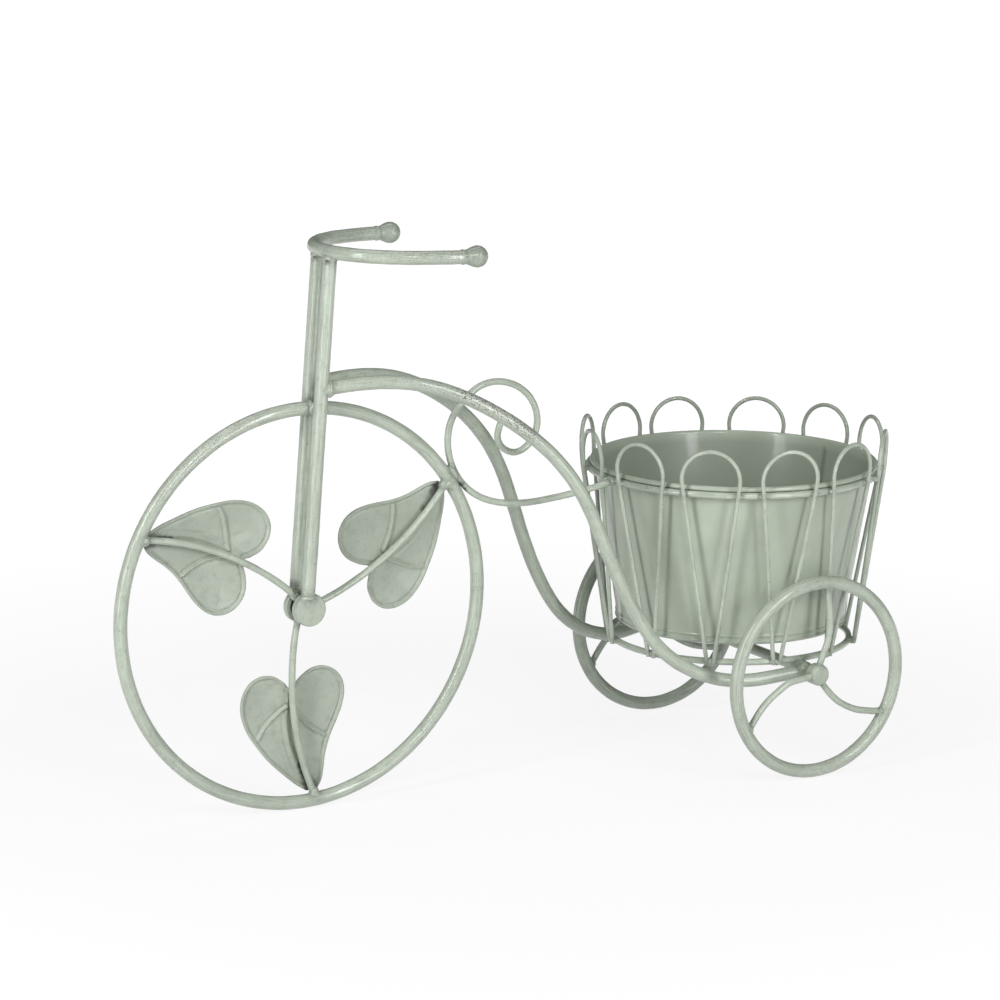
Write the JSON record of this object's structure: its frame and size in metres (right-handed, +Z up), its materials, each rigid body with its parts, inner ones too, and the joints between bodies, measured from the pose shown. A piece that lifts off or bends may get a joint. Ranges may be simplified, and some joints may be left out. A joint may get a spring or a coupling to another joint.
{
  "type": "bicycle planter",
  "caption": "Wire tricycle planter with a big leaf-spoked front wheel, two arched frame rods, a scroll and a looped wire basket that holds a round metal pot.",
  "frame": {"origin": "middle of the outline on the floor, on the tricycle's middle plane", "axes": "-X is the tricycle's front (the big wheel), +X its back (the basket), -Y its near side in the picture, +Z up"},
  "size_m": [0.5102, 0.1878, 0.3307],
  "materials": {
    "frame_paint": "satin",
    "wire_paint": "satin",
    "leaf_paint": "satin",
    "pot_paint": "satin"
  },
  "bodies": {
    "frame": {"front_wheel_rim": "frame_paint", "front_hub_disc_near": "frame_paint", "front_hub_disc_far": "frame_paint", "front_spoke_1": "wire_paint", "leaf_1": "leaf_paint", "front_spoke_2": "wire_paint", "leaf_2": "leaf_paint", "front_spoke_3": "wire_paint", "leaf_3": "leaf_paint", "rear_wheel_rim_near": "frame_paint", "rear_hub_near": "frame_paint", "rear_spoke_near_1": "wire_paint", "rear_spoke_near_2": "wire_paint", "rear_spoke_near_3": "wire_paint", "rear_wheel_rim_far": "frame_paint", "rear_hub_far": "frame_paint", "rear_spoke_far_1": "wire_paint", "rear_spoke_far_2": "wire_paint", "rear_spoke_far_3": "wire_paint", "rear_axle": "frame_paint", "handlebar": "frame_paint", "knob_near": "frame_paint", "fork_rod_near": "frame_paint", "frame_arch_near": "frame_paint", "knob_far": "frame_paint", "fork_rod_far": "frame_paint", "frame_arch_far": "frame_paint", "scroll": "wire_paint", "basket_top_ring": "wire_paint", "basket_bottom_ring": "wire_paint", "basket_loop_01": "wire_paint", "basket_loop_02": "wire_paint", "basket_loop_03": "wire_paint", "basket_loop_04": "wire_paint", "basket_loop_05": "wire_paint", "basket_loop_06": "wire_paint", "basket_loop_07": "wire_paint", "basket_loop_08": "wire_paint", "basket_loop_09": "wire_paint", "basket_loop_10": "wire_paint", "basket_loop_11": "wire_paint", "basket_loop_12": "wire_paint"},
    "pot": {"pot_wall": "pot_paint", "pot_base": "pot_paint"}
  },
  "joints": [
    {"name": "pot_lift", "type": "slide", "parent": "frame", "child": "pot", "axis": [0, 0, 1], "range_m": [0, 0.14]}
  ]
}
